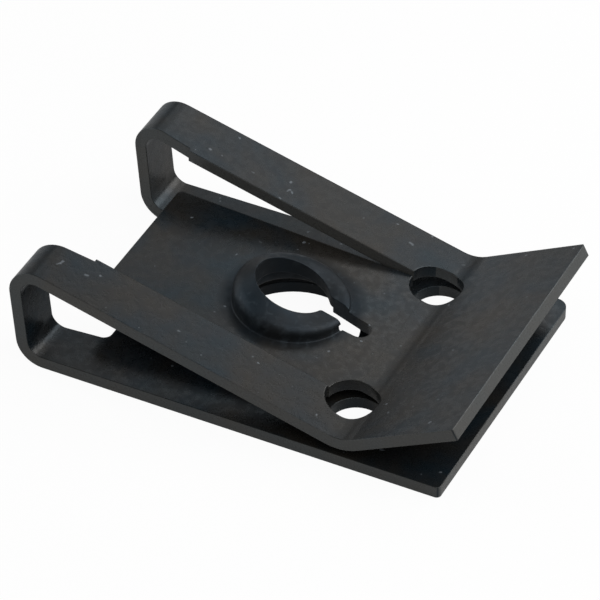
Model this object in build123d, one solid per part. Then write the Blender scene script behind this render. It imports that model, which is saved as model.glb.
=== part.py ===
from build123d import *
from math import cos, radians, sin, sqrt, tan
import os

# U clip speed nut: one folded strip of spring steel with a formed screw collar.
# Millimetres, +Z up. The screw runs along Z through the origin, which lies on the
# underside of the flat lower leaf. The fold is at -X and the open mouth at +X.

# Sheet and outline
sheet = 0.65
width = 16.0
leaf_reach = 12.0
leaf_near_corner_radius = 0.25
leaf_far_corner_radius = 0.7
flare_corner_radius = 0.12

# Fold that joins the lower leaf to the two arms
fold_reach = 11.6
fold_height = 6.46
fold_lean = 0.51
fold_radius = 1.47

# Arms sloping down to the waist, and the lip flaring up from it
waist_reach = 6.6
waist_height = 1.63
waist_radius = 1.8
flare_run = 6.0
flare_rise = 3.1

# Window through the fold, with the shoulder where the tongue is sheared out
window_width_at_fold = 10.9
window_width_at_end = 10.36
window_reach = 7.95
window_corner_radius = 0.45
shoulder_reach = 8.55

# Tongue between the arms
tongue_width = 9.8
arm_gap = 10.0
tongue_reach = 9.06
tongue_slope = 3.7
tongue_corner_radius = 0.3
hinge_inset = 0.92

# Round relief holes at the ends of the slits, the folded pair a little out of line
relief_reach = 6.0
relief_spacing = 9.86
relief_radius = 1.4
relief_shift_x = -0.15
relief_shift_y = -0.15

# Screw collar drawn up from the tongue, and the clearance hole under it
collar_radius = 1.92
rim_height = 1.03
rim_tilt = 0.63
rim_high_side = 193.0
rim_helix_rise = 0.35
rim_wall = 0.84
hollow_tilt = 0.38
hollow_start = 28.0
land_slope = 0.45
level_land_height = 0.5
wall_radius = 2.95
wall_spiral = 0.2
shoulder_at_low_end = 0.7
shoulder_at_free_end = 0.35
foot_blend = 0.12
clearance_radius = 3.48

# Slot narrowing from the collar toward the mouth
slot_near_side = 0.8
slot_near_root = 0.52
slot_far_root = 1.02
slot_end_radius = 0.575
slot_reach = 4.48
slot_far_corner_radius = 0.5
slot_near_corner_radius = 0.15
notch_reach = 3.0
notch_height = 0.3
notch_radius = 0.18

slot_gap = 6
hinge_reach = waist_reach - hinge_inset
above = fold_height + flare_rise
below = 2 * sheet


def arm_top(x):
    """Height of the arms' upper face at x."""
    fall = (fold_height - waist_height) / (fold_reach + fold_lean + waist_reach)
    return waist_height + (waist_reach - x) * fall


def tongue_top(x):
    """Height of the tongue's upper face at x."""
    return arm_top(hinge_reach) + (hinge_reach - x) * tan(radians(tongue_slope))


def bent_strip(points, radii, strip_width):
    """Sheet whose outer face follows the points, seen from the side."""
    with BuildPart() as strip:
        with BuildSketch(Plane.XZ):
            with BuildLine():
                FilletPolyline(*points, radius=radii)
                offset(amount=sheet, side=Side.RIGHT)
            make_face()
        extrude(amount=strip_width / 2, both=True)
    return strip.part


def folded_sheet():
    """Lower leaf, fold, arms and flared lip as one bent strip."""
    outline = [
        (leaf_reach, 0),
        (-fold_reach, 0),
        (-fold_reach - fold_lean, fold_height),
        (waist_reach, waist_height),
        (waist_reach + flare_run, waist_height + flare_rise),
    ]
    return bent_strip(outline, (fold_radius, fold_radius, waist_radius), width)


def upright(sketch, low, high):
    """Prism standing between two heights on an outline seen from above."""
    return extrude(Pos(0, 0, low) * sketch, amount=high - low)


def window_outline(reach, corner_radius):
    """Window from outside the fold to its end, narrowing away from the fold."""
    half_fold = window_width_at_fold / 2
    half_end = window_width_at_end / 2
    outline = make_face(Polyline(
        (-reach, half_end), (-fold_reach, half_fold), (-2 * fold_reach, half_fold),
        (-2 * fold_reach, -half_fold), (-fold_reach, -half_fold), (-reach, -half_end),
        close=True))
    if corner_radius:
        outline = fillet(outline.vertices().group_by(Axis.X)[-1], corner_radius)
    return outline


def window():
    """Opening through the lower leaf, the fold and the start of the arms."""
    middle = fold_height / 2
    lower = upright(window_outline(window_reach, window_corner_radius), -below, middle)
    upper = upright(window_outline(shoulder_reach, 0), middle, above)
    return lower + upper


def arm_opening():
    """Room between the arms from the shoulder to the hinge of the tongue."""
    length = shoulder_reach + hinge_reach
    floor = arm_top(hinge_reach) / 2
    middle = (hinge_reach - shoulder_reach) / 2
    return upright(Pos(middle, 0) * Rectangle(length, arm_gap), floor, above)


def tongue():
    """Flat tongue running back from the hinge, with rounded free corners."""
    overlap = (waist_reach - hinge_reach) / 4
    root = hinge_reach + overlap
    outline = [
        (-tongue_reach, tongue_top(-tongue_reach)),
        (hinge_reach, tongue_top(hinge_reach)),
        (root, arm_top(root)),
    ]
    plate = bent_strip(outline, (waist_radius,), tongue_width)
    free_edges = plate.faces().sort_by(Axis.X)[0].edges().sort_by(SortBy.LENGTH)[:2]
    return fillet(free_edges, tongue_corner_radius)


def tilted(middle, tilt, angle):
    """Height of a tilted ring that also climbs a little as a right-hand helix."""
    climb = rim_helix_rise * (angle / 360 - 0.5)
    return middle + tilt * cos(radians(angle - rim_high_side)) + climb


def rim_top(angle):
    """Height of the collar's rim above the tongue at an angle from +X."""
    return tilted(rim_height, rim_tilt, angle)


def radial_wire(angle, corners, curves):
    """Closed section on the plane through the axis at an angle.

    Radii are from the axis and heights from the tongue's upper face. The curves
    join the last corner back to the first.
    """
    def at(point):
        x = point[0] * cos(radians(angle))
        y = point[0] * sin(radians(angle))
        return Vector(x, y, tongue_top(x) + point[1])

    edges = [Line(at(a), at(b)) for a, b in zip(corners, corners[1:])]
    edges += [Bezier(*[at(point) for point in curve]) for curve in curves]
    return Wire(edges)


def wall_at(angle):
    """Outer radius of the collar, which opens a little as a spiral."""
    return wall_radius + wall_spiral * angle / 360


def crest_at(angle):
    """Radius where the rim's land turns over into its rounded shoulder."""
    shoulder = shoulder_at_low_end + (shoulder_at_free_end - shoulder_at_low_end) * angle / 360
    return wall_at(angle) - shoulder


def land_height(angle, radius):
    """Height of the rim's land, which leans out more where the rim is high."""
    slope = land_slope * (rim_top(angle) - level_land_height)
    return rim_top(angle) - slope * (radius - collar_radius)


def collar_section(angle):
    """Upper face of the collar: sloping land, rounded shoulder, wall and foot."""
    inside = collar_radius / 2
    wall = wall_at(angle)
    crest = crest_at(angle)
    waist = (wall, rim_top(angle) * 0.35)
    foot = (wall + foot_blend, -0.03)
    land_end = (crest, land_height(angle, crest))
    corners = [foot, (foot[0], -sheet / 2), (inside, -sheet / 2),
               (inside, land_height(angle, inside)), land_end]
    shoulder = [land_end, (wall, land_height(angle, wall)), waist]
    blend = [waist, (wall, 0), foot]
    return radial_wire(angle, corners, (shoulder, blend))


def hollow_section(angle):
    """Hollow under the collar, one sheet thickness inside its upper face."""
    inside = collar_radius / 3
    wall = wall_at(angle) - sheet * 0.85
    crest = crest_at(angle) - sheet * 0.6
    roof = tilted(rim_height - rim_wall, hollow_tilt, angle)
    waist = (wall, (roof - sheet) / 2)
    foot = (wall + foot_blend, -sheet - 0.03)
    land_end = (crest, roof)
    corners = [foot, (foot[0], -2 * sheet), (inside, -2 * sheet), (inside, roof), land_end]
    shoulder = [land_end, (wall, roof), waist]
    blend = [waist, (wall, -sheet), foot]
    return radial_wire(angle, corners, (shoulder, blend))


def swept_round(section, start):
    """Solid through sections set round the axis, from the start to the free end."""
    steps = 24
    finish = 360 - slot_gap
    angles = [start + (finish - start) * step / steps for step in range(steps + 1)]
    return Solid.make_loft([section(angle) for angle in angles])


def on_bore(y):
    """Point of the collar's round opening on the mouth's side at y."""
    return (sqrt(collar_radius**2 - y**2), y)


def slot_outline():
    """Slot seen from above, narrowing from the collar to a round end."""
    end_centre = Pos(slot_reach - slot_end_radius, slot_end_radius - slot_near_side)
    end = end_centre * Rot(0, 0, 180) * Circle(slot_end_radius)
    return make_hull([Line(on_bore(-slot_near_root), on_bore(slot_far_root)), end.edge()])


def screw_opening():
    """Round screw hole with the slot leading from it."""
    outline = Circle(collar_radius) + slot_outline()
    roots = outline.vertices().filter_by_position(Axis.X, 0, collar_radius)
    outline = fillet(roots.sort_by(Axis.Y)[-1], slot_far_corner_radius)
    roots = outline.vertices().filter_by_position(Axis.X, 0, collar_radius)
    outline = fillet(roots.sort_by(Axis.Y)[0], slot_near_corner_radius)
    return upright(outline, tongue_top(0) - 2 * sheet, above)


def slot_notch():
    """Small round notch through the tongue under the free end of the collar."""
    centre = Pos(notch_reach, notch_radius * 0.8 - slot_near_side)
    surface = tongue_top(notch_reach)
    return upright(centre * Circle(notch_radius), surface - 2 * sheet, surface + notch_height)


def tongue_with_collar():
    """Tongue with the collar drawn up from it."""
    shape = tongue() + swept_round(collar_section, slot_gap)
    shape -= swept_round(hollow_section, hollow_start)
    return shape - screw_opening() - slot_notch()


def hole_pair(reach, shift, low, high):
    """Two round holes side by side, both shifted across the sheet."""
    centres = [Pos(reach, shift + side * relief_spacing / 2) for side in (-1, 1)]
    return upright(Sketch() + [centre * Circle(relief_radius) for centre in centres],
                   low, high)


def relief_holes():
    """Round holes through the lower leaf and, folded over them, the upper sheet."""
    middle = arm_top(relief_reach) / 2
    lower = hole_pair(relief_reach, 0, -below, middle)
    upper = hole_pair(relief_reach + relief_shift_x, relief_shift_y, middle, above)
    return lower + upper


def end_edges(shape, reach, height):
    """Upright edges at the two outer corners of one end, near side first."""
    edges = [e for e in shape.edges()
             if e.center().X > reach - sheet and abs(e.center().Z - height) < sheet
             and abs(abs(e.center().Y) - width / 2) < 0.01 and e.length < sheet * 1.1]
    return ShapeList(edges).sort_by(Axis.Y)


def round_end_corners(shape):
    """Round the outer corners of the lower leaf and of the flared lip."""
    shape = fillet(end_edges(shape, leaf_reach, sheet / 2)[0], leaf_near_corner_radius)
    shape = fillet(end_edges(shape, leaf_reach, sheet / 2)[-1], leaf_far_corner_radius)
    flare_middle = waist_height + flare_rise - sheet / 2
    flare_edges = end_edges(shape, waist_reach + flare_run, flare_middle)
    return fillet(flare_edges, flare_corner_radius)


def u_clip():
    """The whole clip as one solid."""
    shape = folded_sheet() - window() - arm_opening()
    shape = round_end_corners(shape)
    shape += tongue_with_collar()
    shape -= upright(Circle(clearance_radius), -below, 1.5 * sheet)
    return shape - relief_holes()


def main():
    os.makedirs("parts", exist_ok=True)
    clip = u_clip()
    export_step(clip, "parts/u_clip.step")
    box = clip.bounding_box()
    print("solids", len(clip.solids()), "valid", clip.is_valid, "size", box.size)
    print("volume", round(clip.volume, 2))


main()
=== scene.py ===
import bpy
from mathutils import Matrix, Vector


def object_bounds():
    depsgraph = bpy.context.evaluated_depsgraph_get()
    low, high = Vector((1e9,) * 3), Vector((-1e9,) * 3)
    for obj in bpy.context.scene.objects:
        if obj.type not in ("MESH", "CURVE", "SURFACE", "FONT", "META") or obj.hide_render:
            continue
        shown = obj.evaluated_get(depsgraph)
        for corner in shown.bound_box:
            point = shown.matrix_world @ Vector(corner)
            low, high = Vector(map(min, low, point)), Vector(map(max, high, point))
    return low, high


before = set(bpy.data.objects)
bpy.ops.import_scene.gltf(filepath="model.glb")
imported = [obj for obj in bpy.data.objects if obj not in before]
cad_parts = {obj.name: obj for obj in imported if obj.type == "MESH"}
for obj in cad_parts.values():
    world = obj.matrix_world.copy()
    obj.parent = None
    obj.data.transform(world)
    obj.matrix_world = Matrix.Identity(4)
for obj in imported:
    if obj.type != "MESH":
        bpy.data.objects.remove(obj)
cad_low, cad_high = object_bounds()

# Lengths are in metres, apart from the camera's lens and sensor. The screw's axis stands at
# the origin and the mouth is toward +X.

# The worn edges: how far in from an edge the shading is rounded, and how far its normal has
# to turn from the face's own, as a cosine, for wear to start and to be full.
EDGE_RADIUS = 0.00009
EDGE_SAMPLES = 8
WEAR_STARTS = 0.985
WEAR_FULL = 0.75

# The sheared faces: those past SIDE_FROM, off the middle line, that are turned to a side, and
# those past MOUTH_FROM that are turned to the mouth. Turns are parts of the unit normal.
# The share given last is how far they take on a paler grey: partly the cut steel's own, partly
# painted reflected light.
SIDE_FROM = 0.0045
SIDE_TURN = 0.9
MOUTH_FROM = 0.0115
MOUTH_TURN = 0.75
SHEARED_REFLECTION_SHARE = 0.8

# The drawn collar, by distance from the screw's axis: fully drawn metal within COLLAR_REACH
# and none beyond COLLAR_FOOT, a little past the collar's foot. On it, how far it takes on a
# near-black painted shade for the collar's shading and the shadow round its foot, how much of
# the edge wear is left, and what is added to the roughness.
COLLAR_REACH = 0.0033
COLLAR_FOOT = 0.0039
PAINTED_COLLAR_SHADE_SHARE = 0.6
DRAWN_WEAR = 0.2
DRAWN_ROUGHNESS = 0.2

# Noises: scale in cells per metre, detail, distortion.
GRAIN_NOISE = (2600, 5, 0.2)
WEAR_NOISE = (500, 3, 0.0)
BLOTCH_NOISE = (330, 3, 0.4)
SPECK_NOISE = (2300, 1, 0.0)
SCUFF_NOISE = (2200, 3, 0.3)
FILM_NOISE = (230, 3, 0.6)

# What each noise is carried to: from low, from high, to low, to high. The first three give
# shares of wear, specks and scuffs, the last the roughness.
WEAR_RANGE = (0.4, 0.65, 0.15, 0.8)
SPECK_RANGE = (0.75, 0.79, 0, 0.7)
SCUFF_RANGE = (0.55, 0.7, 0, 0.22)
SATIN_RANGE = (0.3, 0.7, 0.2, 0.36)

# The grain as a bump: its strength and its height.
GRAIN_STRENGTH = 0.3
GRAIN_HEIGHT = 0.00003

# Base colours of the steel. A ramp is a row of (position, colour).
WORN_STEEL = (0.06, 0.06, 0.055)
# The next colour, on the sheared faces, is partly the cut steel's own grey and partly painted
# reflected light.
SHEARED_GREY_AND_REFLECTION = (0.085, 0.085, 0.08)
# The next colour is painted shade: the near black that the collar and a ring round its foot are
# darkened towards.
PAINTED_COLLAR_SHADE = (0.004, 0.005, 0.006)
SCUFFED_STEEL = (0.07, 0.085, 0.095)
SPECK = (0.16, 0.18, 0.2)
BLOTCHES = (
    (0.35, (0.007, 0.013, 0.018)),
    (0.5, (0.0115, 0.013, 0.014)),
    (0.65, (0.016, 0.0145, 0.0125)),
)

# The gloss: its level, its tints over the film, and the painted shade that the collar multiplies
# them by.
GLOSS_LEVEL = 0.5
FILM = (
    (0.36, (0.7, 0.88, 1.0)),
    (0.5, (0.83, 0.9, 0.96)),
    (0.64, (0.96, 0.94, 0.9)),
)
COLLAR_GLOSS_SHADE = (0.65, 0.72, 0.8)

# The floor: its width, its distance under the clip, and its base colour as other surfaces
# are lit by it and as the camera sees it.
FLOOR_SIZE = 3
FLOOR_GAP = 0.00001
FLOOR_BOUNCE = 0.45
FLOOR_VIEW = 0.95

# Shares of plain white that camera rays see, and that mirror and glass rays see.
FLOOR_WHITE = (0.95, 0.15)
SKY_WHITE = (0.83, 0.03)

# The sky's strength for every ray, to which its share of white is added.
SKY_STRENGTH = 0.17

# The camera: place, direction, lens and sensor width in millimetres, nearest and farthest
# distance seen.
CAMERA_PLACE = (0.07585, -0.15182, 0.14287)
CAMERA_FORWARD = (-0.34272, 0.68972, -0.63784)
CAMERA_LENS = 259.4
CAMERA_SENSOR = 36
CAMERA_CLIP = (0.01, 10)

# Lamps: name, place, width in metres, power in watts.
LAMPS = (
    ("behind", (-0.005, 0.09, 0.079), 0.05, 0.006),
    ("mirror", (-0.041, 0.083, 0.077), 0.05, 0.0029),
    ("low", (-0.084, 0.083, 0.018), 0.05, 0.0018),
    ("top", (0.05, -0.035, 0.103), 0.12, 0.05),
    ("right", (0.072, 0.06, 0.075), 0.12, 0.085),
    ("left", (-0.108, -0.024, 0.048), 0.14, 0.05),
)

# Sockets of the colour Mix node, which share their names with hidden ones.
MIX_FACTOR = 0
MIX_FIRST = 6
MIX_SECOND = 7
MIX_RESULT = 2


def material(name):
    """A node material, with its tree and its shader."""
    made = bpy.data.materials.new(name)
    made.use_nodes = True
    return made, made.node_tree, made.node_tree.nodes["Principled BSDF"]


def noise(tree, scale, detail, distortion):
    """Noise fixed to the object, at a scale in cells per metre."""
    place = tree.nodes.new("ShaderNodeTexCoord")
    made = tree.nodes.new("ShaderNodeTexNoise")
    made.inputs["Scale"].default_value = scale
    made.inputs["Detail"].default_value = detail
    made.inputs["Distortion"].default_value = distortion
    tree.links.new(place.outputs["Object"], made.inputs["Vector"])
    return made.outputs["Fac"]


def ramp(tree, fac, stops):
    """Colour ramp over (position, colour) stops."""
    made = tree.nodes.new("ShaderNodeValToRGB")
    points = made.color_ramp.elements
    while len(points) < len(stops):
        points.new(0.5)
    for point, (position, colour) in zip(points, stops):
        point.position = position
        point.color = (*colour, 1)
    tree.links.new(fac, made.inputs["Fac"])
    return made.outputs["Color"]


def scaled(tree, fac, from_low, from_high, to_low, to_high):
    """A value carried from one range to another and held at its ends."""
    made = tree.nodes.new("ShaderNodeMapRange")
    made.inputs["From Min"].default_value = from_low
    made.inputs["From Max"].default_value = from_high
    made.inputs["To Min"].default_value = to_low
    made.inputs["To Max"].default_value = to_high
    tree.links.new(fac, made.inputs["Value"])
    return made.outputs["Result"]


def math(tree, operation, first, second=0.0):
    """One step of arithmetic on sockets or plain values."""
    made = tree.nodes.new("ShaderNodeMath")
    made.operation = operation
    for value, socket in zip((first, second), made.inputs):
        if isinstance(value, float):
            socket.default_value = value
        else:
            tree.links.new(value, socket)
    return made.outputs[0]


def blend(tree, kind, fac, first, second):
    """Two colours combined, the second by the share fac."""
    made = tree.nodes.new("ShaderNodeMix")
    made.data_type = "RGBA"
    made.blend_type = kind
    for value, place in ((fac, MIX_FACTOR), (first, MIX_FIRST), (second, MIX_SECOND)):
        if isinstance(value, tuple):
            made.inputs[place].default_value = (*value, 1)
        else:
            tree.links.new(value, made.inputs[place])
    return made.outputs[MIX_RESULT]


def worn_edges(tree):
    """The share of wear, 0 on a face and 1 at a sharp edge, and the rounded normal."""
    rounded = tree.nodes.new("ShaderNodeBevel")
    rounded.samples = EDGE_SAMPLES
    rounded.inputs["Radius"].default_value = EDGE_RADIUS
    flat = tree.nodes.new("ShaderNodeNewGeometry")
    turn = tree.nodes.new("ShaderNodeVectorMath")
    turn.operation = "DOT_PRODUCT"
    tree.links.new(rounded.outputs["Normal"], turn.inputs[0])
    tree.links.new(flat.outputs["Normal"], turn.inputs[1])
    wear = scaled(tree, turn.outputs["Value"], WEAR_STARTS, WEAR_FULL, 0, 1)
    return wear, rounded.outputs["Normal"]


def cut_faces(tree):
    """1 on the sheet's sheared sides, off the middle, and its ends at the mouth, else 0."""
    place = tree.nodes.new("ShaderNodeTexCoord")
    facing = tree.nodes.new("ShaderNodeNewGeometry")
    at = tree.nodes.new("ShaderNodeSeparateXYZ")
    turn = tree.nodes.new("ShaderNodeSeparateXYZ")
    tree.links.new(place.outputs["Object"], at.inputs[0])
    tree.links.new(facing.outputs["Normal"], turn.inputs[0])
    side_turn = math(tree, "ABSOLUTE", turn.outputs["Y"])
    sideways = math(tree, "GREATER_THAN", side_turn, SIDE_TURN)
    off_middle = math(tree, "ABSOLUTE", at.outputs["Y"])
    outer = math(tree, "GREATER_THAN", off_middle, SIDE_FROM)
    endways = math(tree, "GREATER_THAN", turn.outputs["X"], MOUTH_TURN)
    mouth = math(tree, "GREATER_THAN", at.outputs["X"], MOUTH_FROM)
    sides = math(tree, "MULTIPLY", sideways, outer)
    ends = math(tree, "MULTIPLY", endways, mouth)
    return math(tree, "MAXIMUM", sides, ends)


def drawn_metal(tree):
    """1 on the screw collar and 0 from a little beyond its foot: where the sheet is rougher and
    a painted shade darkens it.
    """
    place = tree.nodes.new("ShaderNodeTexCoord")
    level = tree.nodes.new("ShaderNodeVectorMath")
    level.operation = "MULTIPLY"
    level.inputs[1].default_value = (1, 1, 0)
    reach = tree.nodes.new("ShaderNodeVectorMath")
    reach.operation = "LENGTH"
    tree.links.new(place.outputs["Object"], level.inputs[0])
    tree.links.new(level.outputs[0], reach.inputs[0])
    return scaled(tree, reach.outputs["Value"], COLLAR_FOOT, COLLAR_REACH, 0, 1)


def steel_colour(tree, edge, drawn):
    """Base colour: blotched black; a painted shade darkens the collar and round its foot,
    scuffed there; paler where worn, and paler on the sheared faces, partly painted reflected
    light.
    """
    patchy = scaled(tree, noise(tree, *WEAR_NOISE), *WEAR_RANGE)
    rubbed = math(tree, "MULTIPLY", edge, patchy)
    worn = math(tree, "MULTIPLY", rubbed, scaled(tree, drawn, 0, 1, 1, DRAWN_WEAR))
    blotches = ramp(tree, noise(tree, *BLOTCH_NOISE), BLOTCHES)
    specks = scaled(tree, noise(tree, *SPECK_NOISE), *SPECK_RANGE)
    # Painted shade: the collar and a ring round its foot darkened towards near black, for their
    # shading and the shadow at the foot.
    collar_shade_share = math(tree, "MULTIPLY", drawn, PAINTED_COLLAR_SHADE_SHARE)
    collar_shaded = blend(tree, "MIX", collar_shade_share, blotches, PAINTED_COLLAR_SHADE)
    scratchy = scaled(tree, noise(tree, *SCUFF_NOISE), *SCUFF_RANGE)
    scuffs = math(tree, "MULTIPLY", drawn, scratchy)
    scuffed = blend(tree, "MIX", scuffs, collar_shaded, SCUFFED_STEEL)
    spotted = blend(tree, "MIX", specks, scuffed, SPECK)
    # Sheared faces paled: partly their own grey, partly painted reflected light.
    cut = math(tree, "MULTIPLY", cut_faces(tree), SHEARED_REFLECTION_SHARE)
    sheared = blend(tree, "MIX", cut, spotted, SHEARED_GREY_AND_REFLECTION)
    return blend(tree, "MIX", worn, sheared, WORN_STEEL)


def dark_steel():
    """Spring steel with a black phosphate and oil finish."""
    mat, tree, shader = material("dark_steel")
    edge, rounded = worn_edges(tree)
    grain = noise(tree, *GRAIN_NOISE)
    drawn = drawn_metal(tree)
    tree.links.new(steel_colour(tree, edge, drawn), shader.inputs["Base Color"])
    film = ramp(tree, noise(tree, *FILM_NOISE), FILM)
    # Painted shade on the gloss: the collar's reflections dimmed and tinted blue.
    collar_gloss_shaded = blend(tree, "MULTIPLY", drawn, film, COLLAR_GLOSS_SHADE)
    tree.links.new(collar_gloss_shaded, shader.inputs["Specular Tint"])
    shader.inputs["Specular IOR Level"].default_value = GLOSS_LEVEL
    satin = scaled(tree, grain, *SATIN_RANGE)
    rough = math(tree, "ADD", satin, math(tree, "MULTIPLY", drawn, DRAWN_ROUGHNESS))
    tree.links.new(rough, shader.inputs["Roughness"])
    bump = tree.nodes.new("ShaderNodeBump")
    bump.inputs["Strength"].default_value = GRAIN_STRENGTH
    bump.inputs["Distance"].default_value = GRAIN_HEIGHT
    tree.links.new(grain, bump.inputs["Height"])
    tree.links.new(rounded, bump.inputs["Normal"])
    tree.links.new(bump.outputs["Normal"], shader.inputs["Normal"])
    return mat


def white_to_view(tree, camera_share, mirror_share):
    """Share of plain white that camera rays see, and that mirror and glass rays see."""
    path = tree.nodes.new("ShaderNodeLightPath")
    glossy = path.outputs["Is Glossy Ray"]
    glassy = path.outputs["Is Transmission Ray"]
    mirrored = math(tree, "MAXIMUM", glossy, glassy)
    viewed = math(tree, "MULTIPLY", path.outputs["Is Camera Ray"], camera_share)
    reflected = math(tree, "MULTIPLY", mirrored, mirror_share)
    return math(tree, "ADD", viewed, reflected)


def floor_material():
    """Pale paper that views as white and keeps a faint shadow."""
    mat, tree, shader = material("floor")
    path = tree.nodes.new("ShaderNodeLightPath")
    pale = scaled(tree, path.outputs["Is Camera Ray"], 0, 1, FLOOR_BOUNCE, FLOOR_VIEW)
    tree.links.new(pale, shader.inputs["Base Color"])
    shader.inputs["Roughness"].default_value = 1
    shader.inputs["Specular IOR Level"].default_value = 0
    glow = tree.nodes.new("ShaderNodeEmission")
    both = tree.nodes.new("ShaderNodeMixShader")
    tree.links.new(white_to_view(tree, *FLOOR_WHITE), both.inputs["Fac"])
    tree.links.new(shader.outputs["BSDF"], both.inputs[1])
    tree.links.new(glow.outputs["Emission"], both.inputs[2])
    out = tree.nodes["Material Output"]
    tree.links.new(both.outputs["Shader"], out.inputs["Surface"])
    return mat


def add_floor():
    """Large plain floor just under the clip."""
    under = (0, 0, cad_low.z - FLOOR_GAP)
    bpy.ops.mesh.primitive_plane_add(size=FLOOR_SIZE, location=under)
    plane = bpy.context.object
    plane.name = "floor"
    plane.data.materials.append(floor_material())


def aim(obj, forward):
    """Turns an object's view or light along a direction, with its top up."""
    obj.rotation_mode = "QUATERNION"
    obj.rotation_quaternion = Vector(forward).to_track_quat("-Z", "Y")


def add_camera():
    """The photograph's viewpoint."""
    data = bpy.data.cameras.new("camera")
    data.lens = CAMERA_LENS
    data.sensor_width = CAMERA_SENSOR
    data.clip_start, data.clip_end = CAMERA_CLIP
    cam = bpy.data.objects.new("camera", data)
    bpy.context.collection.objects.link(cam)
    cam.location = CAMERA_PLACE
    aim(cam, CAMERA_FORWARD)
    bpy.context.scene.camera = cam


def add_lamp(name, place, size, power):
    """Soft round lamp aimed at the clip."""
    data = bpy.data.lights.new(name, "AREA")
    data.shape = "DISK"
    data.size = size
    data.energy = power
    lamp = bpy.data.objects.new(name, data)
    bpy.context.collection.objects.link(lamp)
    lamp.location = place
    aim(lamp, -Vector(place))


def add_world():
    """Even pale light that views as white."""
    made = bpy.data.worlds.new("world")
    bpy.context.scene.world = made
    made.use_nodes = True
    tree = made.node_tree
    back = tree.nodes["Background"]
    back.inputs["Color"].default_value = (1, 1, 1, 1)
    strength = math(tree, "ADD", white_to_view(tree, *SKY_WHITE), SKY_STRENGTH)
    tree.links.new(strength, back.inputs["Strength"])


steel = dark_steel()
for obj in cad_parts.values():
    for slot in obj.material_slots:
        slot.material = steel
add_floor()
add_camera()
for name, place, size, power in LAMPS:
    add_lamp(name, place, size, power)
add_world()
bpy.context.scene.view_settings.view_transform = "Standard"
